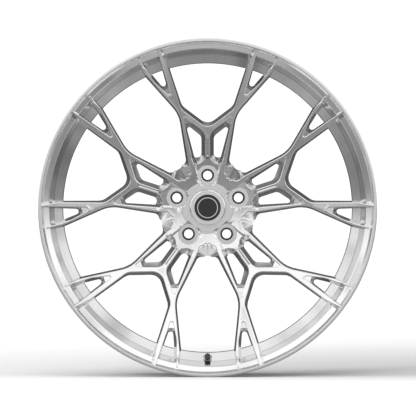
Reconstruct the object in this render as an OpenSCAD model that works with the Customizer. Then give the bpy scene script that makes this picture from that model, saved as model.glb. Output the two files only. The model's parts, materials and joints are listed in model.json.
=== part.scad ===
// Forged 22 inch road and track wheel, five spoke clusters, with its centre cap and its tyre valve.
// Frame: +Z up, wheel axis along Y, front (outboard) face towards -Y, origin on the axis at the rim's
// middle plane. Every shape is drawn lying down, with its own z axis pointing to the front, and the
// last lines stand it up. Distances along that axis are called "height".

/* [Rim] */
// Nominal rim diameter, where the tyre bead sits
bead_d = 558.8; // [558.8:0.1:560]
// Rim width between the flanges, 9J
rim_w = 228.6; // [222:0.1:235]
// Height of the J flange above the bead seat
flange_h = 17.5; // [17:0.1:18]
// Axial thickness of each flange
flange_t = 11.7; // [11:0.1:12.5]
// Inner radius of the well, the narrowest place of the barrel
well_r = 255; // [253:0.5:256]
// Wall thickness of the well
well_t = 5.2; // [4.5:0.1:6]

/* [Hub] */
// Offset of the mounting face in front of the rim's middle plane
offset = 35; // [33:0.5:37]
// Bolt circle diameter
pcd = 114.3; // [114:0.1:115]
// Radius of each bolt hole
bolt_r = 8; // [7:0.1:8.2]
// Radius of the steel seat pressed in round each bolt hole
seat_r = 11.2; // [11:0.1:11.6]
// Radius of the flat land round each seat
land_r = 17.5; // [16:0.1:18]
// Radius of the mounting pad at the back
pad_r = 74; // [72:0.5:76]
// Radius of the wheel's own centre bore
bore_r = 36.4; // [36:0.05:36.6]
// Radius of the car's spigot, held by the centring ring
spigot_r = 33.55; // [33:0.05:34]
// Radius of the round pad at the front
front_pad_r = 45; // [44:0.5:46]

/* [Spokes] */
// Height of the front pad of the hub
pad_h = 75; // [73:0.5:77]
// Slope of the spoke faces beside the front pad
dish_slope = 0.08; // [0.07:0.005:0.09]
// Growth of that slope outwards, per millimetre
dish_bend = 0.00047; // [0.00045:0.00001:0.00049]
// Height of the spoke backs beside the mounting pad
back_h = 47; // [46:0.5:48]
// Slope of the spoke backs
back_slope = 0.227; // [0.22:0.001:0.235]

/* [Cap] */
// Radius of the cap's face
cap_r = 32; // [31:0.1:32.4]
// Radius of the hole that takes the cap's skirt
cap_hole_r = 29.2; // [28.8:0.1:29.6]
// Play between the skirt and that hole
cap_play = 0.15; // [0.1:0.01:0.3]

/* [Valve] */
// Distance of the valve hole from the wheel axis
valve_at = 265; // [264.5:0.1:265.5]
// Lean of the valve towards the wheel axis
valve_lean = 17; // [15:0.5:18]
// Radius of the valve hole
valve_hole_r = 5.65; // [5.6:0.05:5.8]
// Radius of the threaded stem
stem_r = 4; // [3.9:0.1:4.2]
// Radius of the stem's narrow mouth
mouth_r = 3.85; // [3.8:0.05:3.9]

/* [Hidden] */

// Fineness of the round parts
fine = 180;
small = 64;
count = 5;
step_a = 360 / count;
eps = 0.01;

// Colours
forged = "#c9cacb";
polished = "#dcdddd";
steel = "#8f9296";
black = "#17181a";
rubber = "#26272a";
brass = "#b9964c";

// Rim radii and heights
bead_r = bead_d / 2;
rim_r = bead_r + flange_h;
half_w = rim_w / 2;
lip_h = half_w + flange_t;
// The rim's rings meet at these heights, from the front
lip_split_h = 98;
well_top_h = 62;
well_low_h = 28;
ramp_low_h = 1;
drum_low_h = -84;
wall_out_r = 269.7;
ledge_in_r = 280;
ledge_out_r = 287.2;
ledge_h = lip_h - 9;
groove_r = 290.7;

// The hub node ends at this radius and the spoke nodes start there
hub_r = 88;
pocket_h = 66;
land_h = 64.5;
seat_h = 48;
bolt_at = pcd / 2;

// Heights of the dished front and of the back at a distance r from the axis
function face_h(r) = r <= front_pad_r ? pad_h
    : pad_h + dish_slope * (r - front_pad_r) + dish_bend * pow(r - front_pad_r, 2);
back_ramp = 10;
function back_at(r) = r <= pad_r ? offset
    : r <= pad_r + back_ramp ? offset + (back_h - offset) * (r - pad_r) / back_ramp
    : back_h + back_slope * (r - pad_r - back_ramp);

// Outlines of the openings between the spokes, for the opening to the right of straight up.
// Each corner is [x, y, rounding radius, number of flats in the rounding]. The back outline is where
// the opening comes out at the back of the spokes, the face outline is where it starts at their front.
side_36 = [sin(36), cos(36)];
across_36 = [-cos(36), sin(36)];
function flip(pts) = [for (i = [len(pts) - 1 : -1 : 0]) [-pts[i][0], pts[i][1], pts[i][2], pts[i][3]]];
// Mirrors corners across the line 36 degrees right of straight up
function flip_36(pts) = [for (i = [len(pts) - 1 : -1 : 0])
    let (u = [pts[i][0], pts[i][1]] * side_36, v = [pts[i][0], pts[i][1]] * across_36,
        q = u * side_36 - v * across_36) [q[0], q[1], pts[i][2], pts[i][3]]];

// V window: the half right of the middle
v_back = [[45.1, 179.8, 22, 4], [86, 303.5, 0, 0]];
v_face = [[46.8, 174.2, 20, 4], [90.5, 303.5, 0, 0]];
v_back_tip = [[0, 146, 20, 6]];
v_face_tip = [[0, 139.1, 21, 6]];
// Small window beside the stem
s_back = [[38.7, 148, 3.7, 5], [11, 125.8, 10, 4], [11, 91.5, 7, 4], [17.5, 88.6, 6, 2],
    [23.2, 89.2, 2.5, 3]];
s_face = [[44.3, 160.4, 2.6, 5], [4.4, 132.3, 18, 4], [4.2, 88, 1.5, 4], [13.6, 79.2, 10, 2],
    [24.3, 76.2, 1.5, 3]];
// Triangular window between the two prongs of an arm
t_back = [[96.6, 297.5, 0, 0], [67.4, 198.5, 4.75, 6], [99, 235.5, 30, 2], [126.5, 278.7, 0, 0]];
t_face = [[94.6, 298.2, 0, 0], [62.5, 192, 3, 6], [93, 220.5, 30, 2], [132.2, 276.5, 0, 0]];
// Gap between two clusters: the half beside the right arm, from the outside inwards
g_back = [[152, 298.8, 0, 0], [110, 230.2, 30, 2], [50.9, 164.1, 55, 4], [39.5, 92, 80, 2],
    [37.33, 78.93, 9, 4], [45.02, 75.57, 0, 0], [47.17, 71.05, 2, 2]];
g_face = [[149.7, 300, 0, 0], [107.8, 232, 30, 2], [48.3, 165.2, 55, 4], [33.2, 76, 80, 2],
    [28.22, 62.31, 8, 4], [33.53, 57.72, 0, 0], [34.09, 52.36, 1.2, 2]];

// Points of one rounded corner at b, between the sides to a and c
function arc_corner(a, b, c, r, n) = r == 0 ? [b]
    : let (u = (a - b) / norm(a - b), w = (c - b) / norm(c - b), half = acos(u * w) / 2,
        m = b + (u + w) / norm(u + w) * r / sin(half), p = b + u * r / tan(half) - m,
        q = b + w * r / tan(half) - m, a0 = atan2(p[1], p[0]), turn = atan2(q[1], q[0]) - a0,
        da = turn > 180 ? turn - 360 : turn < -180 ? turn + 360 : turn)
        [for (k = [0 : n]) m + r * [cos(a0 + da * k / n), sin(a0 + da * k / n)]];
function rounded(pts) = let (n = len(pts)) [for (i = [0 : n - 1])
    let (a = pts[(i + n - 1) % n], b = pts[i], c = pts[(i + 1) % n])
    each arc_corner([a[0], a[1]], [b[0], b[1]], [c[0], c[1]], b[2], b[3])];

// Cutter of a drafted opening: it follows the back outline at the back of the spokes and the face
// outline at their front, and goes straight on past both
over = 2;
low_h = 20;
high_h = 140;
module drafted(back, face) {
    b = rounded(back);
    f = rounded(face);
    n = len(b);
    zb = [for (p = b) back_at(norm(p))];
    zf = [for (p = f) face_h(norm(p))];
    draft = [for (i = [0 : n - 1]) over * (f[i] - b[i]) / (zf[i] - zb[i])];
    lo = [for (i = [0 : n - 1]) b[i] - draft[i]];
    hi = [for (i = [0 : n - 1]) f[i] + draft[i]];
    points = concat([for (p = lo) [p[0], p[1], low_h]],
        [for (i = [0 : n - 1]) [lo[i][0], lo[i][1], zb[i] - over]],
        [for (i = [0 : n - 1]) [hi[i][0], hi[i][1], zf[i] + over]],
        [for (p = hi) [p[0], p[1], high_h]]);
    sides = [for (k = [0 : 2]) for (i = [0 : n - 1])
        let (j = (i + 1) % n)
        each [[k * n + i, k * n + n + i, k * n + j], [k * n + j, k * n + n + i, k * n + n + j]]];
    polyhedron(points, concat([[for (i = [0 : n - 1]) i]], sides,
        [[for (i = [n - 1 : -1 : 0]) 3 * n + i]]), convexity = 6);
}

// The openings of one cluster that points straight up
module v_window() drafted(concat(v_back_tip, v_back, flip(v_back)), concat(v_face_tip, v_face, flip(v_face)));
module small_window() drafted(s_back, s_face);
module tri_window() drafted(t_back, t_face);
module gap_window() drafted(concat(g_back, flip_36(g_back)), concat(g_face, flip_36(g_face)));
module both_sides() {
    children();
    mirror([1, 0, 0]) children();
}
module cluster_openings() {
    v_window();
    both_sides() small_window();
    both_sides() tri_window();
    both_sides() gap_window();
}

// Dished plate that the spokes and the hub are cut from, between two radii
dish_steps = 12;
module dish(r0, r1) {
    face = [for (k = [0 : dish_steps]) let (r = r0 + (r1 - r0) * k / dish_steps) [r, face_h(r)]];
    back = r0 < pad_r ? [[r1, back_at(r1)], [pad_r + back_ramp, back_h], [pad_r, offset], [r0, offset]]
        : [[r1, back_at(r1)], [r0, back_at(r0)]];
    rotate_extrude($fn = fine) polygon(concat(face, back));
}

// Cross-section of the rim, from the front flange along the tyre side to the rear flange and back
// along the inside
well_out = well_r + well_t;
seat_in_r = bead_r - 1.9;
hump_r = bead_r - 0.4;
tyre_side = [[rim_r, lip_h - 2], [rim_r, half_w + 4.5], [rim_r - 1.4, half_w + 1.2],
    [rim_r - 4, half_w], [bead_r + 6, half_w], [bead_r + 1.9, half_w - 1.8], [bead_r, half_w - 6],
    [seat_in_r, half_w - 21.5], [hump_r, half_w - 26], [hump_r - 2, half_w - 31]];
rear_tyre_side = [for (i = [len(tyre_side) - 1 : -1 : 0]) [tyre_side[i][0], -tyre_side[i][1]]];
drum_out_r = 277;
drum_in_r = 271.8;
// Inside of the rim from the well to the ledge behind the lip, where the spokes grow out of it
spoke_side = [[well_r, well_top_h], [wall_out_r - 1, lip_split_h - 6], [wall_out_r, lip_split_h - 2],
    [wall_out_r, lip_split_h], [wall_out_r + 2.5, lip_split_h + 8], [ledge_in_r - 4, half_w - 1.8],
    [ledge_in_r, ledge_h - 1.2], [ledge_out_r, ledge_h]];
module rim_section() {
    polygon(concat(tyre_side,
        [[well_out, well_top_h], [well_out, well_low_h + 2], [drum_out_r, ramp_low_h + 1],
            [drum_out_r, drum_low_h + 6]],
        rear_tyre_side,
        [[rim_r - 3, -lip_h], [ledge_out_r + 2.8, -lip_h], [ledge_in_r, -half_w - 4],
            [drum_in_r + 1, -half_w + 8], [drum_in_r, -half_w + 16], [drum_in_r, ramp_low_h - 1],
            [well_r, well_low_h - 2]],
        spoke_side,
        [[groove_r, ledge_h + 4.6], [groove_r + 0.3, lip_h - 1], [groove_r + 1.3, lip_h],
            [rim_r - 2, lip_h]]));
}
module rim_ring() rotate_extrude($fn = fine) rim_section();

// Stands on the valve axis, with z along the valve to the front and 0 on the spot face
valve_h = 83;
module at_valve() translate([0, -valve_at, valve_h]) rotate([-valve_lean, 0, 0]) children();
spot_r = 7.4;
rim_valve_t = 5;
module valve_cut() at_valve() {
    cylinder(h = 40, r = spot_r, $fn = small);
    translate([0, 0, -30]) cylinder(h = 60, r = valve_hole_r, $fn = small);
    translate([0, 0, -30 - rim_valve_t]) cylinder(h = 30, r = 9, $fn = small);
}

// Part of the rim between two heights, with the valve's hole in it
module rim_part(low, high) difference() {
    intersection() {
        rim_ring();
        translate([0, 0, low]) cylinder(h = high - low, r = rim_r + 5, $fn = fine);
    }
    if (low < valve_h && high > well_low_h) valve_cut();
}
module front_lip() color(polished) rim_part(lip_split_h, lip_h + 1);
module front_seat() color(polished) rim_part(well_top_h, lip_split_h);
module well() color(forged) rim_part(well_low_h, well_top_h);
module well_ramp() color(forged) rim_part(ramp_low_h, well_low_h);
module rear_drum() color(forged) rim_part(drum_low_h, ramp_low_h);
module rear_lip() color(forged) rim_part(-lip_h - 1, drum_low_h);

// Everything inside the rim's inner surface, which the spokes fill up to
tip_r = groove_r - 0.5;
module inside_rim() rotate_extrude($fn = fine) polygon(concat([[0, well_top_h - 2],
    [well_r, well_top_h - 2]], spoke_side, [[tip_r, ledge_h + 3.9], [tip_r, high_h], [0, high_h]]));

// One spoke cluster, pointing straight up. Its outer prongs end at the foot of the ledge
prong_end_r = 280.5;
prong_end_a = 14;
module cluster() difference() {
    intersection() {
        dish(hub_r, tip_r + 1);
        inside_rim();
        rotate([0, 0, 90 - step_a / 2]) rotate_extrude(angle = step_a, $fn = fine)
            translate([hub_r, 0]) square([tip_r, high_h]);
    }
    cluster_openings();
    both_sides() rotate([0, 0, 90 - step_a / 2]) rotate_extrude(angle = prong_end_a, $fn = fine)
        translate([prong_end_r, 100]) square([20, high_h - 100]);
}
// The bridge is the stem and the V above it. Its seams to the arms run through the small windows
seam = [[18, 75], [20, 92], [33, 140], [41.5, 156], [41.5, 200]];
module bridge_zone() linear_extrude(high_h)
    polygon(concat(seam, [for (i = [len(seam) - 1 : -1 : 0]) [-seam[i][0], seam[i][1]]]));
module half(side) translate([side > 0 ? 0 : -rim_r, 0, 0]) cube([rim_r, rim_r, high_h]);
module bridge(i) color(forged) rotate([0, 0, -step_a * i]) intersection() {
    cluster();
    bridge_zone();
}
module arm(i, side) color(forged) rotate([0, 0, -step_a * i]) difference() {
    intersection() {
        cluster();
        half(side);
    }
    bridge_zone();
}

// Pocket between the arms that holds a bolt hole, its land and its seat
module bolt_pocket() {
    translate([0, 0, pocket_h]) linear_extrude(40) polygon([[23, 77], [0, 92], [-23, 77], [-19, 63],
        [-15, 55], [15, 55], [19, 63]]);
    translate([0, bolt_at, land_h]) cylinder(h = 40, r = land_r, $fn = small);
    translate([0, bolt_at, seat_h]) cylinder(h = 40, r = seat_r, $fn = small);
    translate([0, bolt_at, 0]) cylinder(h = 90, r = bolt_r, $fn = small);
}

cap_seat_h = 71.5;
cap_hole_h = 54;
module hub() color(forged) difference() {
    dish(0, hub_r);
    for (i = [0 : count - 1]) rotate([0, 0, -step_a * i]) {
        bolt_pocket();
        both_sides() small_window();
        gap_window();
    }
    translate([0, 0, cap_seat_h]) cylinder(h = 20, r = cap_r + 0.4, $fn = fine);
    translate([0, 0, 20]) cylinder(h = 90, r = cap_hole_r, $fn = fine);
    translate([0, 0, 20]) cylinder(h = cap_hole_h - 20, r = bore_r, $fn = fine);
}

cone_r = 10.9;
cone_h = (cone_r - bolt_r) / tan(30);
module lug_seat(i) color(steel) rotate([0, 0, -step_a * i]) translate([0, bolt_at, 0])
    difference() {
        translate([0, 0, seat_h]) cylinder(h = land_h - seat_h, r = seat_r, $fn = small);
        translate([0, 0, seat_h - 1]) cylinder(h = 30, r = bolt_r, $fn = small);
        translate([0, 0, land_h - cone_h]) cylinder(h = cone_h + eps, r1 = bolt_r, r2 = cone_r, $fn = small);
    }

// Ring that centres the wheel on the car's spigot, with a lead-in chamfer at the back
ring_l = 10;
ring_chamfer = 1.2;
module centring_ring() color(black) translate([0, 0, offset]) difference() {
    cylinder(h = ring_l, r = bore_r, $fn = fine);
    translate([0, 0, -1]) cylinder(h = ring_l + 2, r = spigot_r, $fn = fine);
    translate([0, 0, -eps]) cylinder(h = ring_chamfer, r1 = spigot_r + ring_chamfer, r2 = spigot_r, $fn = fine);
}

skirt_r = cap_hole_r - cap_play;
module cap_shell() color(polished) rotate_extrude($fn = fine) polygon([
    [0, 73.5], [16.8, 73.5], [16.8, 75.6], [18.2, 75.6], [18.2, 74.3], [23.2, 74.3], [23.2, 77.2],
    [29.8, 77.2], [31.3, 76.6], [cap_r, 75], [cap_r, 72], [skirt_r, 72], [skirt_r, 66.5],
    [skirt_r - 1.6, 66.5], [skirt_r - 1.6, 64.5], [skirt_r, 64.5], [skirt_r, 60.5],
    [skirt_r - 1.2, 60.5], [skirt_r - 1.2, 58.9], [skirt_r, 58.9], [skirt_r - 0.8, 57],
    [skirt_r - 4, 57], [skirt_r - 4, 70], [0, 70]]);
module cap_ring() color(black) rotate_extrude($fn = fine) translate([18.2, 74.3]) square([5, 1.5]);
module cap_badge() color(black) difference() {
    translate([0, 0, 73.5]) cylinder(h = 1.7, r = 16.8, $fn = fine);
    for (i = [0 : count - 1]) rotate([0, 0, -step_a * i])
        translate([0, 10.5, 74.6]) cylinder(h = 2, r = 1.6, $fn = small);
}
module cap_clip() color(steel) rotate([0, 0, 100]) rotate_extrude(angle = 340, $fn = fine)
    translate([skirt_r - 0.6, 59.7]) circle(r = 0.6, $fn = 24);
module cap_seal() color(rubber) rotate_extrude($fn = fine)
    translate([skirt_r - 0.8, 65.5]) circle(r = 0.8, $fn = 24);

// Valve: everything is drawn along the valve's own axis
stem_top = 15;
mouth_l = 9;
core_r = 2;
core_deep = 16;
module valve_stem() color(black) at_valve() difference() {
    union() {
        translate([0, 0, -rim_valve_t - 6]) cylinder(h = 3.5, r = 8.2, $fn = small);
        translate([0, 0, -rim_valve_t - 3]) cylinder(h = stem_top - mouth_l + rim_valve_t + 3,
            r = stem_r, $fn = small);
        translate([0, 0, stem_top - mouth_l - eps]) cylinder(h = mouth_l + eps, r = mouth_r, $fn = small);
    }
    translate([0, 0, -40]) cylinder(h = 80, r = 1.4, $fn = small);
    translate([0, 0, stem_top - core_deep]) cylinder(h = 40, r = core_r, $fn = small);
}
module valve_grommet() color(rubber) at_valve() difference() {
    union() {
        translate([0, 0, -rim_valve_t - 2.5]) cylinder(h = 2.5, r = 7.8, $fn = small);
        translate([0, 0, -rim_valve_t - eps]) cylinder(h = rim_valve_t - 0.5, r = valve_hole_r, $fn = small);
    }
    translate([0, 0, -40]) cylinder(h = 80, r = stem_r, $fn = small);
}
module valve_washer() color(steel) at_valve() difference() {
    cylinder(h = 1, r = 6.8, $fn = small);
    translate([0, 0, -1]) cylinder(h = 5, r = stem_r, $fn = small);
}
module valve_nut() color(steel) at_valve() difference() {
    translate([0, 0, 1]) cylinder(h = 4.5, r = 6.35, $fn = 6);
    cylinder(h = 9, r = stem_r, $fn = small);
}
// The core screws into the stem's mouth. Its chamber holds the spring that keeps the pin shut
pin_r = 0.55;
core_low = stem_top - core_deep;
core_l = 12;
neck_l = 4;
chamber_r = 1.5;
chamber_l = 6;
module valve_core() color(brass) at_valve() translate([0, 0, core_low]) difference() {
    union() {
        cylinder(h = neck_l, r = core_r - 0.25, $fn = small);
        translate([0, 0, neck_l]) cylinder(h = core_l - neck_l, r = core_r, $fn = small);
    }
    translate([0, 0, -1]) cylinder(h = core_l + 2, r = pin_r + 0.08, $fn = small);
    translate([0, 0, neck_l]) cylinder(h = chamber_l, r = chamber_r, $fn = small);
}
// The pin, with the small disc that closes the core from inside
pin_head_r = 1.2;
pin_head_l = 1.6;
module valve_pin() color(brass) at_valve() {
    translate([0, 0, core_low - pin_head_l]) cylinder(h = core_deep + pin_head_l - 0.5, r = pin_r,
        $fn = small);
    translate([0, 0, core_low - pin_head_l - 0.1]) cylinder(h = pin_head_l, r = pin_head_r, $fn = small);
}
// Coil spring: a wire of six flats swept along a helix
spring_turns = 5;
spring_r = 1.03;
wire_r = 0.2;
wire_sides = 6;
rings_per_turn = 12;
spring_pitch = (chamber_l - 4 * wire_r) / spring_turns;
module valve_spring() {
    rings = spring_turns * rings_per_turn;
    points = [for (i = [0 : rings]) let (a = 360 * i / rings_per_turn) for (k = [0 : wire_sides - 1])
        let (b = 360 * k / wire_sides, r = spring_r + wire_r * cos(b))
        [r * cos(a), r * sin(a), 2 * wire_r + spring_pitch * i / rings_per_turn + wire_r * sin(b)]];
    sides = [for (i = [0 : rings - 1]) for (k = [0 : wire_sides - 1])
        let (p = i * wire_sides + k, q = i * wire_sides + (k + 1) % wire_sides)
        each [[p, q, p + wire_sides], [q, q + wire_sides, p + wire_sides]]];
    ends = [[for (k = [wire_sides - 1 : -1 : 0]) k], [for (k = [0 : wire_sides - 1]) rings * wire_sides + k]];
    color(steel) at_valve() translate([0, 0, core_low + neck_l]) polyhedron(points, concat(sides, ends));
}
cap_from = stem_top - 8.7;
cap_to = stem_top + 2;
cap_in_r = 4.1;
grip_count = 12;
module valve_cap() color(black) at_valve() difference() {
    translate([0, 0, cap_from]) cylinder(h = cap_to - cap_from, r = 5, $fn = small);
    translate([0, 0, cap_from - 1]) cylinder(h = stem_top + 0.6 - cap_from + 1, r = cap_in_r, $fn = small);
    for (k = [0 : grip_count - 1]) rotate([0, 0, k * 360 / grip_count]) translate([5.3, 0, cap_from + 2])
        cylinder(h = 20, r = 0.7, $fn = 24);
}
module valve_cap_seal() color(rubber) at_valve() difference() {
    translate([0, 0, stem_top + 0.1]) cylinder(h = 0.5, r = cap_in_r - 0.05, $fn = small);
    cylinder(h = 60, r = pin_head_r, $fn = small);
}

// Turns the drawing upright, so that the front faces -Y
module stand() rotate([90, 0, 0]) children();
stand() hub();
stand() bridge(0);  // bridge_1
stand() bridge(1);  // bridge_2
stand() bridge(2);  // bridge_3
stand() bridge(3);  // bridge_4
stand() bridge(4);  // bridge_5
stand() arm(0, -1);  // left_arm_1
stand() arm(1, -1);  // left_arm_2
stand() arm(2, -1);  // left_arm_3
stand() arm(3, -1);  // left_arm_4
stand() arm(4, -1);  // left_arm_5
stand() arm(0, 1);  // right_arm_1
stand() arm(1, 1);  // right_arm_2
stand() arm(2, 1);  // right_arm_3
stand() arm(3, 1);  // right_arm_4
stand() arm(4, 1);  // right_arm_5
stand() front_lip();
stand() front_seat();
stand() well();
stand() well_ramp();
stand() rear_drum();
stand() rear_lip();
stand() lug_seat(0);  // lug_seat_1
stand() lug_seat(1);  // lug_seat_2
stand() lug_seat(2);  // lug_seat_3
stand() lug_seat(3);  // lug_seat_4
stand() lug_seat(4);  // lug_seat_5
stand() centring_ring();
stand() cap_shell();
stand() cap_ring();
stand() cap_badge();
stand() cap_clip();
stand() cap_seal();
stand() valve_stem();
stand() valve_grommet();
stand() valve_washer();
stand() valve_nut();
stand() valve_core();
stand() valve_spring();
stand() valve_pin();
stand() valve_cap();
stand() valve_cap_seal();
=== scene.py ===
"""Looks of the forged wheel: finer meshes for the forging and the rim, materials, light and camera."""
import json
import math

import bmesh
import bpy
import numpy as np
from mathutils import Matrix, Vector
from mathutils.geometry import delaunay_2d_cdt

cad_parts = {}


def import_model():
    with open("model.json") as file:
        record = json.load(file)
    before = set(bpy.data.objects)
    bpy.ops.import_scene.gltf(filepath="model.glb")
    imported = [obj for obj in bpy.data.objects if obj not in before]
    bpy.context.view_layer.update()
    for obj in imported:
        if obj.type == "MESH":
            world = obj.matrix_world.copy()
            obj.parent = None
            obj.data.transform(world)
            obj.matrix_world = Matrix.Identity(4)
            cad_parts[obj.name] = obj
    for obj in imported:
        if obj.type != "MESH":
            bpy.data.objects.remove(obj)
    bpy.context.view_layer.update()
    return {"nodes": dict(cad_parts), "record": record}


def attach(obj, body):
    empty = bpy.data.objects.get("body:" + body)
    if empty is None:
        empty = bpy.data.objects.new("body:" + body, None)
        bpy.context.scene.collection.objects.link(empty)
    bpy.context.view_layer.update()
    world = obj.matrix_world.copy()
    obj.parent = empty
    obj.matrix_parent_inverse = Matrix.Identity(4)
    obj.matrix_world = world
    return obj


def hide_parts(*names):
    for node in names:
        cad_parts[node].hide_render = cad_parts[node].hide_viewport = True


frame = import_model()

# ---------------------------------------------------------------- sizes, in millimetres
# Shapes are worked out lying down: x right, y up, and "height" towards the front. upright() stands them up.
MM = 0.001
BEAD_R = 279.4
RIM_R = 296.9
HALF_W = 114.3
LIP_H = 126.0
WELL_R = 255.0
WELL_OUT = 260.2
LEDGE_H = LIP_H - 9
HUB_PAD_R = 45.0
PAD_H = 75.0
OFFSET = 35.0
BACK_PAD_R = 74.0
BACK_RAMP = 10.0
BACK_H = 47.0
BORE_R = 36.4
CAP_HOLE_R = 29.2
CAP_HOLE_H = 54.0
CAP_SEAT_R = 32.4
CAP_SEAT_H = 71.5
BOLT_AT = 57.15
BOLT_R = 8.0
SEAT_R = 11.2
SEAT_H = 48.0
LAND_R = 17.5
LAND_H = 64.5
FLOOR_H = 66.0
CLUSTERS = 5
SECTOR = 2 * math.pi / CLUSTERS
HALF_SECTOR = SECTOR / 2

# Outlines of the openings for the cluster that points straight up, right half: (x, y, rounding radius).
# From the middle of the V window round both prongs of the arm to the line between two clusters.
FACE_CHAIN = [
    (0, 139.1, 21), (46.8, 174.2, 20), (71.3, 251.5, 60), (86.6, 281.0, 1), (89.6, 280.4, 1), (62.5, 192, 3),
    (93, 220.5, 30), (119.8, 259.0, 1), (123.4, 257.5, 1), (107.8, 232, 30), (48.3, 165.2, 55),
    (33.2, 76, 80), (28.22, 62.31, 8), (33.53, 57.72, 1.0), (34.09, 52.36, 1.2), (38.44, 52.91, 0)]
BACK_CHAIN = [
    (0, 146, 20), (45.1, 179.8, 22), (69.2, 252.6, 60), (79.3, 281.2, 1.5), (90.3, 278.0, 1.5),
    (67.4, 198.5, 4.75), (99, 235.5, 30), (114.6, 261.0, 1.5), (125.1, 257.1, 1.5), (110, 230.2, 30),
    (50.9, 164.1, 55), (39.5, 92, 80), (37.33, 78.93, 9), (45.02, 75.57, 1.5), (47.17, 71.05, 2),
    (49.9, 68.68, 0)]
FACE_WINDOW = [(44.3, 160.4, 2.6), (4.4, 132.3, 18), (4.2, 88, 1.5), (13.6, 79.2, 10), (24.3, 76.2, 1.5)]
BACK_WINDOW = [(38.7, 148, 3.7), (11, 125.8, 10), (11, 91.5, 7), (17.5, 88.6, 6), (23.2, 89.2, 2.5)]
STEP = 3.0

# Rim cross-section as (r, height, rounding), from the front flange along the tyre side, then back along the
# inside
FLANGE = [(RIM_R, LIP_H, 1.2), (RIM_R, HALF_W + 2.5, 2.5), (RIM_R - 4.5, HALF_W, 2), (BEAD_R, HALF_W, 6.5),
          (BEAD_R - 1.9, HALF_W - 21.5, 3), (BEAD_R - 0.4, HALF_W - 26, 4), (BEAD_R - 2.4, HALF_W - 31, 5)]
RIM = (FLANGE + [(WELL_OUT, 62, 7), (WELL_OUT, 30, 10), (277, 2, 10)]
       + [(r, -h, rounding) for r, h, rounding in reversed(FLANGE)]
       + [(290.5, -LIP_H, 2), (281, -HALF_W - 4, 5), (272.2, -HALF_W + 10, 10), (271.8, 0, 12),
          (WELL_R, 26, 12), (WELL_R, 62, 8), (268.9, 92.5, 1.0), (269.9, 94.5, 0.8), (270.1, 99, 4),
          (278.2, 114.6, 3.2), (287.3, LEDGE_H + 0.4, 0.8), (290.6, LEDGE_H + 4.6, 0.7),
          (291.2, LIP_H, 0.8)])


def unit(v):
    """The vector at length 1."""
    return v / np.linalg.norm(v)


def corner_arc(before, corner, after, radius, count):
    """Points of the rounding at a corner; a sharp corner gives one point."""
    if radius == 0:
        return [corner]
    u, w = unit(before - corner), unit(after - corner)
    half = math.acos(float(np.clip(u @ w, -1, 1))) / 2
    middle = corner + unit(u + w) * radius / math.sin(half)
    start, end = corner + u * radius / math.tan(half) - middle, corner + w * radius / math.tan(half) - middle
    a0, a1 = math.atan2(start[1], start[0]), math.atan2(end[1], end[0])
    turn = (a1 - a0 + math.pi) % (2 * math.pi) - math.pi
    angles = a0 + turn * np.linspace(0, 1, count + 1)
    return [middle + radius * np.array([math.cos(a), math.sin(a)]) for a in angles]


def rounded_pair(first, second, closed, step):
    """Two matching outlines with rounded corners, as arrays with the same number of points."""
    n = len(first)
    arcs = []
    for i in range(n):
        pair = []
        for outline in (first, second):
            before, corner, after = (np.array(outline[k % n][:2], float) for k in (i - 1, i, i + 1))
            if not closed and i in (0, n - 1):
                pair.append((before, corner, after, 0.0, 0.0))
                continue
            turn = math.pi - math.acos(float(np.clip(unit(before - corner) @ unit(after - corner), -1, 1)))
            pair.append((before, corner, after, float(outline[i][2]), turn))
        count = max([max(3, math.ceil(p[4] / 0.22), math.ceil(p[4] * p[3] / step)) for p in pair])
        arcs.append([corner_arc(*p[:4], count) for p in pair])
    lines = ([], [])
    for i in range(n):
        ends = None if (not closed and i == n - 1) else arcs[(i + 1) % n]
        for side in (0, 1):
            lines[side].extend(arcs[i][side])
        if ends is None:
            continue
        gaps = [np.linalg.norm(ends[side][0] - arcs[i][side][-1]) for side in (0, 1)]
        pieces = max(1, math.ceil(max(gaps) / step))
        for side in (0, 1):
            a, b = arcs[i][side][-1], ends[side][0]
            lines[side].extend(a + (b - a) * k / pieces for k in range(1, pieces))
    return np.array(lines[0]), np.array(lines[1])


def mirrored(chain):
    """The outline's other half."""
    return [(-x, y, radius) for x, y, radius in chain]


# ---------------------------------------------------------------- heights of the forging
def smooth(t):
    """An even change from 0 to 1."""
    t = np.clip(t, 0, 1)
    return t * t * (3 - 2 * t)


# The face rises from the hub's pad to the rim: slope at the pad, and how fast it grows
DISH_SLOPE = 0.08
DISH_CURVE = 0.00047


def dish(r):
    """Height of the dished face."""
    out = r - HUB_PAD_R
    return PAD_H + np.where(out > 0, DISH_SLOPE * out + DISH_CURVE * out ** 2, 0)


def rim_inside(r):
    """Height of the rim's inner surface, where the prongs run into it."""
    return np.interp(r, [250, 255, 268.9, 270, 278.2, 287.3, 290.6], [26, 62, 92.5, 98, 114.6, 117.4, 121.6])


BACK_SLOPE = 0.227
# From here outwards the arms' backs lie in the rim, this much below its surface
RIM_FROM = 258
SUNK = 1.5


def back(r):
    """Height of the forging's back: the mounting pad, a ramp, then the backs of the arms."""
    foot = BACK_PAD_R + BACK_RAMP
    rise = BACK_SLOPE * (300 - foot)
    plain = np.interp(r, [0, BACK_PAD_R, foot, 300], [OFFSET, OFFSET, BACK_H, BACK_H + rise])
    return np.where(r > RIM_FROM, np.maximum(plain, rim_inside(r) - SUNK), plain)


# Bolt pocket: its floor is FLOOR_H high at FLOOR_AT, rises outwards, and widens from POCKET_HALF at HALF_AT
FLOOR_AT = 60
FLOOR_RISE = 0.09
POCKET_HALF = 16.7
HALF_AT = 62.7
POCKET_SPREAD = 0.269
# Slopes of its side walls and of its end towards the stem, and where it begins and ends
POCKET_SLOPE = 2.8
STEM_SLOPE = 2.2
STEM_FOOT = 85.5
POCKET_FROM = 50
POCKET_TO = 84
# The hub's pad stands this much proud of the arms
PAD_STEP = 0.6
PAD_STEP_W = 0.7
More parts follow.
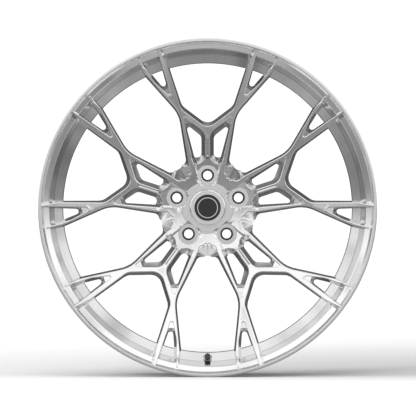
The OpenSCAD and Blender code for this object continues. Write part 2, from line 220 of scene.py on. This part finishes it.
# Groove in the stem between the two small windows: depth, half width, and from where to where
GROOVE = 1.7
GROOVE_HALF = 2.3
GROOVE_FROM = 88
GROOVE_TO = 128
# The outer prongs start at this angle from the cluster's middle. Their tips run down into the rim's ledge
OUTER_PRONG = math.radians(20.5)
TIP_FROM = 262
TIP_DROP = 3.2


def floor_at(y):
    """Height of the floor of the bolt pocket."""
    return FLOOR_H + FLOOR_RISE * (y - FLOOR_AT)


def plain_top(r):
    """Height of the face with the step round the hub's pad, which fades out along the arms."""
    return dish(r) - PAD_STEP * smooth((r - HUB_PAD_R) / PAD_STEP_W) * (1 - smooth((r - 60) / 40))


def pocket_foot(y):
    """Half width of the bolt pocket's floor."""
    return POCKET_HALF + POCKET_SPREAD * (y - HALF_AT)


def pocket_edge(y):
    """Half width of the bolt pocket at the front."""
    x = pocket_foot(y) + 3
    for _ in range(4):
        x = pocket_foot(y) + (plain_top(np.hypot(x, y)) - floor_at(y)) / POCKET_SLOPE
    return x


def front(p):
    """Height of the forging's front at points p, without the walls of the openings."""
    x, y = np.abs(p[:, 0]), p[:, 1]
    r = np.hypot(x, y)
    top = plain_top(r)
    groove = GROOVE * np.clip(1 - x / GROOVE_HALF, 0, 1) * smooth((y - GROOVE_FROM) / 5)
    groove = groove * (1 - smooth((y - GROOVE_TO + 7) / 7))
    top = top - groove
    away = np.maximum(POCKET_SLOPE * (x - pocket_foot(y)), STEM_SLOPE * (y - STEM_FOOT))
    pocket = floor_at(y) + np.maximum(away, 0)
    top = np.where((y > 40) & (x < 30), np.minimum(top, pocket), top)
    outer_tip = smooth((np.arctan2(x, y) - OUTER_PRONG) / 0.02) * smooth((r - TIP_FROM) / 17)
    ledge = rim_inside(r) + 0.6 - 1.8 * smooth((r - 279) / 4)
    return top + outer_tip * (np.maximum(ledge, top - TIP_DROP) - top)


# ---------------------------------------------------------------- mesh helpers
def upright(x, y, height):
    """From the lying frame in millimetres to the standing frame in metres."""
    return (x * MM, -height * MM, y * MM)


# Edges that bend more than this are drawn sharp
SHARP = math.radians(28)


def make_object(name, bm):
    """An object of the wheel body from a mesh, shaded smooth with sharp edges."""
    bmesh.ops.recalc_face_normals(bm, faces=bm.faces)
    for edge in bm.edges:
        edge.smooth = len(edge.link_faces) == 2 and edge.calc_face_angle() < SHARP
    for face in bm.faces:
        face.smooth = True
    mesh = bpy.data.meshes.new(name)
    bm.to_mesh(mesh)
    bm.free()
    obj = bpy.data.objects.new(name, mesh)
    bpy.context.scene.collection.objects.link(obj)
    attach(obj, "wheel")
    return obj


def inside_polygon(points, polygon):
    """For each point, whether it lies inside the closed polygon."""
    x, y = points[:, 0:1], points[:, 1:2]
    ax, ay = polygon[:, 0], polygon[:, 1]
    bx, by = np.roll(ax, -1), np.roll(ay, -1)
    crosses = (ay > y) != (by > y)
    with np.errstate(divide="ignore", invalid="ignore"):
        at = ax + (y - ay) * (bx - ax) / (by - ay)
    return (np.sum(crosses & (x < at), axis=1) % 2) == 1


def normals_right(line, closed):
    """Unit normals to the right of travel along a polyline."""
    if closed:
        ahead, behind = np.roll(line, -1, 0), np.roll(line, 1, 0)
    else:
        ahead = np.vstack([line[1:], line[-1:]])
        behind = np.vstack([line[:1], line[:-1]])
    d = ahead - behind
    d = d / np.linalg.norm(d, axis=1, keepdims=True)
    return np.stack([d[:, 1], -d[:, 0]], axis=1)


class Sheet:
    """A surface given by heights over the plane: polylines that it must follow, and points between them."""

    def __init__(self):
        self.points, self.heights, self.edges = [], [], []

    def line(self, points, heights, closed=False):
        first = len(self.points)
        self.points.extend(points)
        self.heights.extend(heights)
        n = len(points)
        self.edges.extend((first + i, first + (i + 1) % n) for i in range(n if closed else n - 1))

    def fill(self, points, heights):
        self.points.extend(points)
        self.heights.extend(heights)

    def triangles(self, region, holes, level):
        """Triangulates the plane and keeps what is inside region and outside the holes.

        Where polylines cross, level gives the height of the new point."""
        coords = [Vector((float(p[0]), float(p[1]))) for p in self.points]
        verts, _, faces, origins, _, _ = delaunay_2d_cdt(coords, self.edges, [], 0, 1e-5, True)
        flat = np.array([(v.x, v.y) for v in verts])
        known = np.array(self.heights, float)
        heights = np.full(len(flat), np.nan)
        for i, source in enumerate(origins):
            if source:
                heights[i] = known[source[0]]
        centres = np.array([flat[list(f)].mean(0) for f in faces])
        good = inside_polygon(centres, region)
        for hole in holes:
            good &= ~inside_polygon(centres, hole)
        kept = [f for f, ok in zip(faces, good) if ok]
        fresh = np.isnan(heights)
        if fresh.any():
            heights[fresh] = level(flat[fresh])
        return flat, heights, kept


def spread(region, holes, lines, spacing, clear):
    """Points of a triangular grid inside region, outside the holes and clear of all lines."""
    low, high = region.min(0), region.max(0)
    rows = np.arange(low[1], high[1], spacing * 0.866)
    grid = np.array([(x + (k % 2) * spacing / 2, y) for k, y in enumerate(rows)
                     for x in np.arange(low[0], high[0], spacing)])
    grid = grid[inside_polygon(grid, region)]
    for hole in holes:
        grid = grid[~inside_polygon(grid, hole)]
    every = np.vstack(lines)
    gap = np.sqrt(((grid[:, None, :] - every[None, :, :]) ** 2).sum(2)).min(1)
    return grid[gap > clear]


def circle(cx, cy, radius, count, start=0.0):
    angles = start + 2 * math.pi * np.arange(count) / count
    return np.stack([cx + radius * np.cos(angles), cy + radius * np.sin(angles)], axis=1)


# ---------------------------------------------------------------- the forging: hub and spoke clusters
ROUND = 1.5
ROUND_AT = [(1.0, 0.0), (0.62, 0.08), (0.29, 0.29), (0.08, 0.62), (0.0, 1.0)]
BACK_ROUND = 1.0
# Distance from a crease at which the shading is flat again
GUARD = 0.6
CIRCLE_STEPS = 72
LAND_STEPS = 144


def full_chain(half):
    """The half outline with its mirror image before it: from one sector line to the other."""
    return mirrored(half[:0:-1]) + list(half)


def cluster_lines():
    """Face and back outlines of one cluster: the outer chain, then the two small windows."""
    chain = rounded_pair(full_chain(FACE_CHAIN), full_chain(BACK_CHAIN), False, STEP)
    right = rounded_pair(FACE_WINDOW, BACK_WINDOW, True, STEP)
    left = rounded_pair(mirrored(FACE_WINDOW)[::-1], mirrored(BACK_WINDOW)[::-1], True, STEP)
    return chain, [right, left]


def sector_arc(radius, reach, count):
    """Points of an arc round the axis, from -reach to reach about the cluster's middle line."""
    angles = np.linspace(-reach, reach, count)
    return np.stack([radius * np.sin(angles), radius * np.cos(angles)], axis=1)


def sector_region(chain, radius):
    """Closed outline of a sector of the forging: the chain, and an arc round the axis."""
    arc = sector_arc(radius, HALF_SECTOR, 13)[::-1]
    return np.vstack([chain, arc]), arc


def add_sector_sides(sheet, chain, arc, height, count):
    """Straight sides of the sector, with the same points on both so that sectors join."""
    for end, start in ((chain[-1], arc[0]), (chain[0], arc[-1])):
        t = np.linspace(0, 1, count)[:, None]
        line = end + (start - end) * t
        heights = height(line)
        sheet.line(line, heights)


def inward_normals(line, closed):
    """Normals into the metal. At the ends of a chain they run along the sector's sides."""
    inward = normals_right(line, closed)
    if not closed:
        for i, sign in ((0, -1), (-1, 1)):
            inward[i] = -np.array([sign * math.sin(HALF_SECTOR), math.cos(HALF_SECTOR)])
    return inward


def off_sides(points):
    """The points that are clear of the straight sides of the sector."""
    angles = np.abs(np.arctan2(points[:, 0], points[:, 1]))
    return points[np.hypot(*points.T) * (HALF_SECTOR - angles) > 1.5]


def front_sheet(chain, windows):
    """Front and walls of one sector of the forging, down to the outlines of its back."""
    sheet = Sheet()
    lines = []
    for (face, rear), closed in [(chain, False)] + [(w, True) for w in windows]:
        inward = inward_normals(face, closed)
        top = front(face)
        base = back(np.hypot(*rear.T)) + BACK_ROUND
        for out, down in ROUND_AT:
            line = face + inward * ROUND * out
            sheet.line(line, front(line) * 0.5 + top * 0.5 - ROUND * down, closed)
            lines.append(line)
        sheet.line(rear, base, closed)
        lines.append(rear)
    region, arc = sector_region(chain[1], CAP_SEAT_R + 0.6)
    sheet.line(arc, front(arc))
    lip = arc * (CAP_SEAT_R + 1.2) / (CAP_SEAT_R + 0.6)
    sheet.line(lip, front(lip))
    add_sector_sides(sheet, chain[0], arc, front, 12)
    outlines = np.vstack([chain[0]] + [w[0] for w in windows])
    face_region = np.vstack([chain[0], arc])

    def crease(points):
        """Adds the runs of a polyline that are clear of the openings and of the bolt's land."""
        gap = np.sqrt(((points[:, None, :] - outlines[None, :, :]) ** 2).sum(2)).min(1)
        clear = (gap > ROUND + 0.25) & (np.hypot(points[:, 0], points[:, 1] - BOLT_AT) > LAND_R + 0.95)
        for w in windows:
            clear &= ~inside_polygon(points, w[0])
        clear &= inside_polygon(points, face_region)
        start = None
        for i, ok in enumerate(list(clear) + [False]):
            if ok and start is None:
                start = i
            elif not ok and start is not None:
                if i - start > 1:
                    sheet.line(points[start:i], front(points[start:i]))
                    lines.append(points[start:i])
                start = None

    for face, closed in [(chain[0], False)] + [(w[0], True) for w in windows]:
        crease(face + normals_right(face, closed) * (ROUND + GUARD))
    foot = HUB_PAD_R + PAD_STEP_W
    for radius in (HUB_PAD_R - GUARD, HUB_PAD_R, HUB_PAD_R + PAD_STEP_W / 2, foot, foot + GUARD):
        crease(sector_arc(radius, HALF_SECTOR - 0.002, 61))
    edge, below, inner_edge, flat = (circle(0, BOLT_AT, radius, LAND_STEPS)
                                     for radius in (LAND_R + 0.75, LAND_R + 0.2, LAND_R, SEAT_R + 0.5))
    level = np.full(LAND_STEPS, LAND_H)
    for ring, heights in ((edge, front(edge)), (below, front(below) - 0.5), (inner_edge, level),
                          (flat, level)):
        sheet.line(ring, heights, True)
        lines.append(ring)
    hole = circle(0, BOLT_AT, SEAT_R, CIRCLE_STEPS)
    sheet.line(hole, np.full(CIRCLE_STEPS, LAND_H - 0.3), True)
    ys = np.arange(POCKET_FROM, POCKET_TO, 0.8)
    for half_width in (pocket_foot, pocket_edge):
        for x in (half_width(ys) - GUARD, half_width(ys), half_width(ys) + GUARD):
            crease(np.stack([-x, ys], axis=1))
            crease(np.stack([x, ys], axis=1))
    ys = np.arange(GROOVE_FROM + 1, GROOVE_TO, 1.5)
    for x in (-GROOVE_HALF - GUARD, -GROOVE_HALF, 0, GROOVE_HALF, GROOVE_HALF + GUARD):
        crease(np.stack([np.full(len(ys), x), ys], axis=1))
    xs = np.linspace(-6, 6, 13)
    for y in (STEM_FOOT, STEM_FOOT + (plain_top(90.0) - floor_at(STEM_FOOT)) / STEM_SLOPE):
        crease(np.stack([xs, np.full(len(xs), y)], axis=1))
    holes = [w[1] for w in windows] + [hole]
    inner = spread(face_region, [w[0] for w in windows] + [circle(0, BOLT_AT, LAND_R + 1, 36)],
                   lines + [arc, lip], 4.5, 2.2)
    inner = off_sides(inner)
    sheet.fill(inner, front(inner))
    return sheet.triangles(region, holes, front), arc


def back_sheet(chain, windows):
    """Back of one sector of the forging, with slightly rounded edges."""
    sheet = Sheet()
    lines = []

    def level(p):
        return back(np.hypot(*p.T))

    for (_, rear), closed in [(chain, False)] + [(w, True) for w in windows]:
        inward = inward_normals(rear, closed)
        sheet.line(rear, level(rear) + BACK_ROUND, closed)
        for out, up in ((0.3, 0.3), (1.0, 0.0)):
            line = rear + inward * BACK_ROUND * out
            sheet.line(line, level(rear) + BACK_ROUND * up, closed)
            lines.append(line)
        lines.append(rear)
    region, arc = sector_region(chain[1], BORE_R + 0.8)
    sheet.line(arc, level(arc))
    add_sector_sides(sheet, chain[1], arc, level, 12)
    ring = sector_arc(BACK_PAD_R, HALF_SECTOR, 40)
    sheet.line(ring, level(ring))
    lines.append(ring)
    hole = circle(0, BOLT_AT, BOLT_R + 0.6, CIRCLE_STEPS)
    sheet.line(hole, np.full(CIRCLE_STEPS, OFFSET), True)
    lines.append(hole)
    holes = [w[1] for w in windows] + [hole]
    inner = off_sides(spread(region, holes, lines + [arc], 6, 2.6))
    sheet.fill(inner, level(inner))
    return sheet.triangles(region, holes, level)


def add_triangles(bm, result, turn):
    """Adds a sheet's triangles, turned round the wheel axis."""
    flat, heights, faces = result
    c, s = math.cos(turn), math.sin(turn)
    verts = {}
    for face in faces:
        for i in face:
            if i not in verts:
                x, y = flat[i]
                verts[i] = bm.verts.new(upright(c * x + s * y, c * y - s * x, heights[i]))
    for face in faces:
        bm.faces.new([verts[i] for i in face])


def add_rings(bm, rings):
    """Joins circles of (x, y, height) points, one after the other, with bands of faces."""
    rows = [[bm.verts.new(upright(*p)) for p in ring] for ring in rings]
    for a, b in zip(rows, rows[1:]):
        n = len(a)
        for i in range(n):
            bm.faces.new([a[i], a[(i + 1) % n], b[(i + 1) % n], b[i]])


def turned_ring(points, height, turn):
    """A ring of points at one height, turned round the wheel axis."""
    c, s = math.cos(turn), math.sin(turn)
    return [(c * x + s * y, c * y - s * x, height) for x, y in points]


def centre_forging():
    """Hub, bridges and arms as one mesh: front and back sheets, bolt holes and the stepped bore."""
    chain, windows = cluster_lines()
    top, top_arc = front_sheet(chain, windows)
    bottom = back_sheet(chain, windows)
    bm = bmesh.new()
    for k in range(CLUSTERS):
        add_triangles(bm, top, k * SECTOR)
        add_triangles(bm, bottom, k * SECTOR)
        wall = [(SEAT_R, LAND_H - 0.3), (SEAT_R, SEAT_H), (BOLT_R, SEAT_H), (BOLT_R, OFFSET + 0.6),
                (BOLT_R + 0.6, OFFSET)]
        add_rings(bm, [turned_ring(circle(0, BOLT_AT, radius, CIRCLE_STEPS), height, k * SECTOR)
                       for radius, height in wall])
    steps = (len(top_arc) - 1) * CLUSTERS
    bore = [(CAP_SEAT_R + 0.6, PAD_H), (CAP_SEAT_R, PAD_H - 0.6), (CAP_SEAT_R, CAP_SEAT_H),
            (CAP_HOLE_R, CAP_SEAT_H), (CAP_HOLE_R, CAP_HOLE_H), (BORE_R, CAP_HOLE_H), (BORE_R, OFFSET + 0.8),
            (BORE_R + 0.8, OFFSET)]
    start = math.pi / 2 - HALF_SECTOR
    add_rings(bm, [[(x, y, height) for x, y in circle(0, 0, radius, steps, start)]
                   for radius, height in bore])
    bmesh.ops.remove_doubles(bm, verts=bm.verts, dist=2e-5)
    obj = make_object("wheel_centre", bm)
    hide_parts("hub", *["%s_%d" % (part, k + 1) for part in ("bridge", "left_arm", "right_arm")
                              for k in range(CLUSTERS)])
    return obj


# ---------------------------------------------------------------- lathe work
def rounded_outline(corners, step):
    """The rounded cross-section, with a point close to both ends of each straight run."""
    line, _ = rounded_pair(corners, corners, True, step)
    guarded = []
    for a, b in zip(line, np.roll(line, -1, 0)):
        gap = np.linalg.norm(b - a)
        guarded.append(a)
        if gap > 3 * GUARD:
            guarded.extend([a + (b - a) * GUARD / gap, b - (b - a) * GUARD / gap])
    return np.array(guarded)


def lathe(name, corners, count, step):
    """A ring turned from a closed cross-section of (r, height, rounding) corners."""
    line = rounded_outline(corners, step)
    bm = bmesh.new()
    rows = []
    for k in range(count):
        a = 2 * math.pi * k / count
        rows.append([bm.verts.new(upright(r * math.sin(a), r * math.cos(a), h)) for r, h in line])
    n = len(line)
    for k in range(count):
        a, b = rows[k], rows[(k + 1) % count]
        for i in range(n):
            bm.faces.new([a[i], a[(i + 1) % n], b[(i + 1) % n], b[i]])
    bmesh.ops.remove_doubles(bm, verts=bm.verts, dist=1e-7)
    return make_object(name, bm)


# Valve: distance from the axis and height of its seat, and its lean towards the axis
VALVE_AT = 265.0
VALVE_H = 83.0
VALVE_LEAN = math.radians(17)
VALVE_BASE = Vector(upright(0, -VALVE_AT, VALVE_H))
VALVE_DIR = Vector(upright(0, math.sin(VALVE_LEAN), math.cos(VALVE_LEAN))).normalized()
# Cuts along the valve's axis as (radius, from, to): room for the nut, the hole, and the flat on the tyre side
VALVE_CUTS = ((7.4, 0, 40), (5.65, -30, 30), (9.0, -35, -5))


def valve_cutter(radius, low, high):
    """A cylinder along the valve's axis, to cut the rim with."""
    bm = bmesh.new()
    bmesh.ops.create_cone(bm, cap_ends=True, segments=64, radius1=radius * MM, radius2=radius * MM,
                          depth=(high - low) * MM)
    turn = Vector((0, 0, 1)).rotation_difference(VALVE_DIR).to_matrix().to_4x4()
    place = Matrix.Translation(VALVE_BASE + VALVE_DIR * (high + low) / 2 * MM) @ turn
    bm.transform(place)
    mesh = bpy.data.meshes.new("cutter")
    bm.to_mesh(mesh)
    bm.free()
    obj = bpy.data.objects.new("cutter", mesh)
    bpy.context.scene.collection.objects.link(obj)
    return obj


def rim_ring():
    """The rim turned as one ring, with the valve's hole."""
    obj = lathe("rim_barrel", RIM, 216, step=12.0)
    for radius, low, high in VALVE_CUTS:
        cutter = valve_cutter(radius, low, high)
        cut = obj.modifiers.new("cut", "BOOLEAN")
        cut.object = cutter
        cut.solver = "EXACT"
        graph = bpy.context.evaluated_depsgraph_get()
        mesh = bpy.data.meshes.new_from_object(obj.evaluated_get(graph))
        obj.modifiers.clear()
        obj.data = mesh
        bpy.data.objects.remove(cutter)
    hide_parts("front_lip", "front_seat", "well", "well_ramp", "rear_drum", "rear_lip")
    return obj


# ---------------------------------------------------------------- materials
def new_material(name):
    mat = bpy.data.materials.new(name)
    mat.use_nodes = True
    nodes = mat.node_tree.nodes
    return mat, nodes, mat.node_tree.links, nodes["Principled BSDF"]


def turned_metal(name, colour, rough, groove):
    """Aluminium with fine turning marks round the wheel axis, which runs along Y."""
    mat, nodes, links, shader = new_material(name)
    shader.inputs["Metallic"].default_value = 1.0
    coords = nodes.new("ShaderNodeTexCoord")
    split = nodes.new("ShaderNodeSeparateXYZ")
    links.new(coords.outputs["Object"], split.inputs[0])
    flat = nodes.new("ShaderNodeCombineXYZ")
    links.new(split.outputs["X"], flat.inputs["X"])
    links.new(split.outputs["Z"], flat.inputs["Y"])
    length = nodes.new("ShaderNodeVectorMath")
    length.operation = "LENGTH"
    links.new(flat.outputs[0], length.inputs[0])
    rings = nodes.new("ShaderNodeCombineXYZ")
    links.new(length.outputs["Value"], rings.inputs["X"])
    links.new(split.outputs["Y"], rings.inputs["Y"])
    marks = nodes.new("ShaderNodeTexNoise")
    marks.inputs["Scale"].default_value = groove
    marks.inputs["Detail"].default_value = 4.0
    links.new(rings.outputs[0], marks.inputs["Vector"])
    cloud = nodes.new("ShaderNodeTexNoise")
    cloud.inputs["Scale"].default_value = 14.0
    cloud.inputs["Detail"].default_value = 3.0
    links.new(coords.outputs["Object"], cloud.inputs["Vector"])
    tone = nodes.new("ShaderNodeMixRGB")
    tone.inputs["Color1"].default_value = (*[c * 0.93 for c in colour], 1)
    tone.inputs["Color2"].default_value = (*colour, 1)
    links.new(cloud.outputs["Fac"], tone.inputs["Fac"])
    links.new(tone.outputs[0], shader.inputs["Base Color"])
    gloss = nodes.new("ShaderNodeMapRange")
    gloss.inputs["To Min"].default_value = rough * 0.75
    gloss.inputs["To Max"].default_value = rough * 1.25
    links.new(marks.outputs["Fac"], gloss.inputs["Value"])
    links.new(gloss.outputs[0], shader.inputs["Roughness"])
    bump = nodes.new("ShaderNodeBump")
    bump.inputs["Strength"].default_value = 0.12
    bump.inputs["Distance"].default_value = 0.0002
    links.new(marks.outputs["Fac"], bump.inputs["Height"])
    links.new(bump.outputs[0], shader.inputs["Normal"])
    return mat


def fine_grain(name, colour, rough, metallic, scale, strength=0.1):
    """A plain finish with fine grain in its roughness and surface."""
    mat, nodes, links, shader = new_material(name)
    shader.inputs["Metallic"].default_value = metallic
    coords = nodes.new("ShaderNodeTexCoord")
    grain = nodes.new("ShaderNodeTexNoise")
    grain.inputs["Scale"].default_value = scale
    grain.inputs["Detail"].default_value = 5.0
    links.new(coords.outputs["Object"], grain.inputs["Vector"])
    tone = nodes.new("ShaderNodeMixRGB")
    tone.inputs["Color1"].default_value = (*[c * 0.85 for c in colour], 1)
    tone.inputs["Color2"].default_value = (*colour, 1)
    links.new(grain.outputs["Fac"], tone.inputs["Fac"])
    links.new(tone.outputs[0], shader.inputs["Base Color"])
    gloss = nodes.new("ShaderNodeMapRange")
    gloss.inputs["To Min"].default_value = rough * 0.8
    gloss.inputs["To Max"].default_value = rough * 1.2
    links.new(grain.outputs["Fac"], gloss.inputs["Value"])
    links.new(gloss.outputs[0], shader.inputs["Roughness"])
    bump = nodes.new("ShaderNodeBump")
    bump.inputs["Strength"].default_value = strength
    bump.inputs["Distance"].default_value = 0.0001
    links.new(grain.outputs["Fac"], bump.inputs["Height"])
    links.new(bump.outputs[0], shader.inputs["Normal"])
    return mat


def give(obj, mat):
    """Makes mat the only material of obj."""
    obj.data.materials.clear()
    obj.data.materials.append(mat)


forged = turned_metal("forged_alloy", (0.93, 0.93, 0.935), 0.15, 900.0)
polished = turned_metal("polished_alloy", (0.95, 0.95, 0.955), 0.10, 1400.0)
looks = {
    "forged_alloy": forged,
    "polished_alloy": polished,
    "seat_steel": fine_grain("seat_steel", (0.36, 0.36, 0.37), 0.35, 1.0, 900.0),
    "bright_steel": fine_grain("bright_steel", (0.62, 0.63, 0.65), 0.3, 1.0, 900.0),
    "black_plastic": fine_grain("black_plastic", (0.03, 0.03, 0.032), 0.5, 0.0, 700.0),
    "cap_black": fine_grain("cap_black", (0.008, 0.008, 0.009), 0.45, 0.0, 300.0, 0.03),
    "black_metal": fine_grain("black_metal", (0.03, 0.03, 0.033), 0.38, 0.4, 900.0),
    "valve_brass": fine_grain("valve_brass", (0.72, 0.58, 0.3), 0.3, 1.0, 700.0),
    "seal_rubber": fine_grain("seal_rubber", (0.02, 0.02, 0.02), 0.7, 0.0, 500.0, 0.2),
}
for subpart in frame["record"]["subparts"]:
    give(frame["nodes"][subpart["node"]], looks[subpart["material_slot"]])

wheel_centre = centre_forging()
give(wheel_centre, forged)
rim = rim_ring()
give(rim, polished)

# ---------------------------------------------------------------- floor, light and camera
# Greys by height of the direction, from straight down to straight up, in front of and behind the wheel
FRONT_LIGHT = [(0.0, 0.16), (0.095, 0.20), (0.125, 0.34), (0.2, 0.52), (0.24, 0.50), (0.29, 0.36),
               (0.42, 0.27), (0.475, 0.36), (0.5, 0.62), (0.52, 0.85), (0.57, 1.15), (0.8, 1.2), (1.0, 0.8)]
# Painted shadow on the floor: greys from front to back over the band below, in metres, darkest just behind
# the wheel
PAINTED_SHADOW_BAND = (-1.0, 5.0)
PAINTED_SHADOW_TONES = [(0.0, 0.95), (0.07, 0.84), (0.13, 0.66), (0.18, 0.50), (0.3, 0.54), (0.55, 0.80),
               (0.85, 0.95)]
REAR_LIGHT = [(0.0, 0.20), (0.3, 0.12), (0.5, 0.09), (0.7, 0.14), (0.85, 0.45), (1.0, 0.8)]
# Share of the rear greys by how far back the direction points
REAR_SHARE = [(0.0, 0.0), (0.76, 0.0), (0.78, 0.65), (0.8, 0.65), (0.815, 0.15), (0.84, 0.25), (0.93, 1.0),
              (1.0, 1.0)]
# Streaks laid over all of these, by the value of a noise
VEIL = [(0.36, 0.55), (0.45, 0.9), (0.55, 1.0), (0.66, 0.75)]
FLOOR_Z = -RIM_R * MM
# Width of the picture in radii of the rim, and the camera's small offset from the wheel's axis
VIEW_WIDTH = 2.45283
CAMERA_X = 0.0007
CAMERA_Z = -0.0005


def stage():
    """A pale floor with a painted soft shadow: a grey band behind the wheel, stronger to the right."""
    reach = 60.0
    mesh = bpy.data.meshes.new("floor")
    corners = [(-reach, -reach), (reach, -reach), (reach, reach), (-reach, reach)]
    mesh.from_pydata([(x, y, FLOOR_Z) for x, y in corners], [], [(0, 1, 2, 3)])
    floor = bpy.data.objects.new("floor", mesh)
    bpy.context.scene.collection.objects.link(floor)
    mat, nodes, links, shader = new_material("pale_floor_with_painted_shadow")
    coords = nodes.new("ShaderNodeTexCoord")
    split = nodes.new("ShaderNodeSeparateXYZ")
    links.new(coords.outputs["Object"], split.inputs[0])
    # Painted shadow: the floor's greys darken in a band just behind the wheel
    tones = grey_ramp(nodes, links, remap(nodes, links, split.outputs["Y"], *PAINTED_SHADOW_BAND), PAINTED_SHADOW_TONES)
    plain = nodes.new("ShaderNodeRGB")
    plain.outputs[0].default_value = (0.95, 0.95, 0.95, 1)
    # Painted shadow: full strength on the right, mixed towards the plain pale grey on the left
    across = remap(nodes, links, split.outputs["X"], -0.45, 0.45, 0.6, 1.0)
    tones = blend(nodes, links, "MIX", across, plain.outputs[0], tones)
    links.new(tones, shader.inputs["Base Color"])
    shader.inputs["Roughness"].default_value = 0.8
    give(floor, mat)
    floor.visible_glossy = False


def lights():
    """A soft key from the front left and an even wash over the floor. The metal doesn't mirror them."""
    key = bpy.data.objects.new("key", bpy.data.lights.new("key", "AREA"))
    key.data.energy = 420
    key.data.size = 1.6
    key.location = (-1.6, -5.6, 1.1)
    key.rotation_euler = (Vector((0, 0, -0.2)) - key.location).to_track_quat("-Z", "Y").to_euler()
    wash = bpy.data.objects.new("wash", bpy.data.lights.new("wash", "SUN"))
    wash.data.energy = 1.3
    wash.data.angle = 0.8
    wash.rotation_euler = (math.radians(35), 0, math.radians(-20))
    for light in (key, wash):
        bpy.context.scene.collection.objects.link(light)
        light.visible_glossy = False


def grey_ramp(nodes, links, value, stops):
    """Greys over a value from 0 to 1, from a list of (place, grey)."""
    ramp = nodes.new("ShaderNodeValToRGB")
    elements = ramp.color_ramp.elements
    for element, (place, grey) in zip(elements, (stops[0], stops[-1])):
        element.position = place
        element.color = (grey, grey, grey, 1)
    for place, grey in stops[1:-1]:
        elements.new(place).color = (grey, grey, grey, 1)
    links.new(value, ramp.inputs["Fac"])
    return ramp.outputs["Color"]


def remap(nodes, links, value, low, high, to_low=0.0, to_high=1.0):
    """The value stretched from low..high to to_low..to_high."""
    node = nodes.new("ShaderNodeMapRange")
    node.inputs["From Min"].default_value = low
    node.inputs["From Max"].default_value = high
    node.inputs["To Min"].default_value = to_low
    node.inputs["To Max"].default_value = to_high
    links.new(value, node.inputs["Value"])
    return node.outputs[0]


def blend(nodes, links, kind, factor, first, second):
    """Two colours mixed or multiplied."""
    node = nodes.new("ShaderNodeMixRGB")
    node.blend_type = kind
    if isinstance(factor, float):
        node.inputs["Fac"].default_value = factor
    else:
        links.new(factor, node.inputs["Fac"])
    links.new(first, node.inputs["Color1"])
    links.new(second, node.inputs["Color2"])
    return node.outputs[0]


def world():
    """What the metal mirrors: softboxes in front and above, a dim room behind. The camera sees white."""
    studio = bpy.data.worlds.new("studio")
    bpy.context.scene.world = studio
    studio.use_nodes = True
    nodes, links = studio.node_tree.nodes, studio.node_tree.links
    room = nodes["Background"]
    coords = nodes.new("ShaderNodeTexCoord")
    split = nodes.new("ShaderNodeSeparateXYZ")
    links.new(coords.outputs["Generated"], split.inputs[0])
    up = remap(nodes, links, split.outputs["Z"], -1.0, 1.0)
    ahead = grey_ramp(nodes, links, up, FRONT_LIGHT)
    behind = grey_ramp(nodes, links, up, REAR_LIGHT)
    side = grey_ramp(nodes, links, remap(nodes, links, split.outputs["Y"], -1.0, 1.0), REAR_SHARE)
    both = blend(nodes, links, "MIX", side, ahead, behind)
    streaks = nodes.new("ShaderNodeTexNoise")
    streaks.inputs["Scale"].default_value = 3.2
    streaks.inputs["Detail"].default_value = 3.0
    links.new(coords.outputs["Generated"], streaks.inputs["Vector"])
    veil = grey_ramp(nodes, links, streaks.outputs["Fac"], VEIL)
    both = blend(nodes, links, "MULTIPLY", 1.0, both, veil)
    links.new(both, room.inputs["Color"])
    wall = nodes.new("ShaderNodeBackground")
    wall.inputs["Color"].default_value = (1, 1, 1, 1)
    wall.inputs["Strength"].default_value = 1.1
    path = nodes.new("ShaderNodeLightPath")
    mix = nodes.new("ShaderNodeMixShader")
    links.new(path.outputs["Is Camera Ray"], mix.inputs[0])
    links.new(room.outputs[0], mix.inputs[1])
    links.new(wall.outputs[0], mix.inputs[2])
    links.new(mix.outputs[0], nodes["World Output"].inputs[0])


def camera():
    """A long lens straight in front of the wheel."""
    distance = 10.0
    data = bpy.data.cameras.new("camera")
    data.sensor_width = 36
    data.lens = data.sensor_width * distance / (VIEW_WIDTH * RIM_R * MM)
    data.clip_end = 100
    obj = bpy.data.objects.new("camera", data)
    obj.location = (CAMERA_X, -LIP_H * MM - distance, CAMERA_Z)
    obj.rotation_euler = (math.pi / 2, 0, 0)
    bpy.context.scene.collection.objects.link(obj)
    bpy.context.scene.camera = obj


stage()
world()
camera()
lights()
bpy.context.scene.view_settings.view_transform = "Standard"
